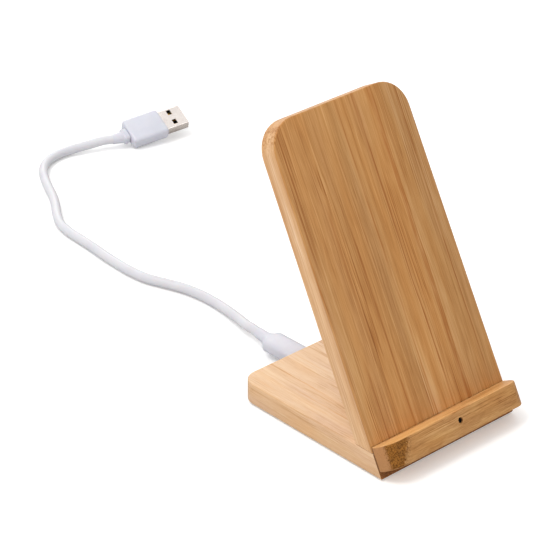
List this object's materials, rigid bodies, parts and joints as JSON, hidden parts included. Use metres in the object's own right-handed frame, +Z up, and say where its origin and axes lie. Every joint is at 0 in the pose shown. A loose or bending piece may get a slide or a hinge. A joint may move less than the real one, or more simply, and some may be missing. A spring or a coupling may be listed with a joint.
{
  "type": "wireless charging stand",
  "caption": "Bamboo phone charging stand with a leaning board, a phone ledge, a flat base and a short white USB cable.",
  "frame": {"origin": "on the table, under the middle of the stand's own box (the cable left out)", "axes": "+Z up, +Y towards the rear where the cable leaves, +X to the right seen from in front"},
  "size_m": [0.1392, 0.3006, 0.1226],
  "materials": {
    "bamboo_board": "laminated side-pressed bamboo, clear satin lacquer",
    "bamboo_base": "laminated side-pressed bamboo, pale, clear satin lacquer",
    "bamboo_ledge": "laminated side-pressed bamboo with exposed end grain, clear satin lacquer",
    "dowel_wood": "plain turned hardwood",
    "cover_plastic": "fine moulded texture, black",
    "smoked_lens": "smoked clear plastic",
    "silicone": "matt silicone",
    "white_moulding": "satin moulded white with a cool tint",
    "white_jacket": "satin extruded elastomer",
    "plated_steel": "bright nickel plate over drawn steel",
    "screw_steel": "zinc plated",
    "board_green": "solder mask over glass-fibre board",
    "chip_black": "moulded epoxy",
    "connector_black": "glass-filled moulding",
    "ferrite": "sintered ferrite",
    "enamelled_copper": "enamelled copper wire",
    "gold_plate": "gold flash",
    "lead_insulation": "red silicone insulation",
    "led_package": "moulded white package",
    "capacitor_tan": "glazed ceramic"
  },
  "bodies": {
    "stand": {"back_panel": "bamboo_board", "panel_rear_cover": "bamboo_board", "base_board": "bamboo_base", "base_bottom_cover": "cover_plastic", "phone_ledge": "bamboo_ledge", "status_light_lens": "smoked_lens", "status_led": "led_package", "led_board": "board_green", "status_light_lead": "lead_insulation", "rubber_foot_front_left": "silicone", "rubber_foot_front_right": "silicone", "rubber_foot_rear_left": "silicone", "rubber_foot_rear_right": "silicone", "cover_screw_front_left": "screw_steel", "cover_screw_front_right": "screw_steel", "cover_screw_rear_left": "screw_steel", "cover_screw_rear_right": "screw_steel", "panel_dowel_left": "dowel_wood", "panel_dowel_right": "dowel_wood", "ledge_dowel_left": "dowel_wood", "ledge_dowel_right": "dowel_wood", "lower_charging_coil": "enamelled_copper", "upper_charging_coil": "enamelled_copper", "ferrite_shield": "ferrite", "lower_coil_lead": "lead_insulation", "upper_coil_lead": "lead_insulation", "main_circuit_board": "board_green", "controller_chip": "chip_black", "bridge_driver_left": "chip_black", "bridge_driver_right": "chip_black", "power_inductor": "ferrite", "resonant_capacitor_left": "capacitor_tan", "resonant_capacitor_right": "capacitor_tan", "input_capacitor": "capacitor_tan", "usb_c_socket_shell": "plated_steel", "usb_c_socket_tongue": "connector_black"},
    "cable": {"usb_c_overmould": "white_moulding", "usb_c_plug_shell": "plated_steel", "usb_c_plug_insulator": "connector_black", "charging_cable": "white_jacket", "usb_a_strain_relief": "white_moulding", "usb_a_overmould": "white_moulding", "usb_a_plug_shell": "plated_steel", "usb_a_plug_insulator": "connector_black", "usb_a_contact_1": "gold_plate", "usb_a_contact_2": "gold_plate", "usb_a_contact_3": "gold_plate", "usb_a_contact_4": "gold_plate"}
  },
  "joints": [
    {"name": "cable_plug_pull", "type": "slide", "parent": "stand", "child": "cable", "axis": [0, 1, 0], "range_m": [0, 0.009]}
  ]
}
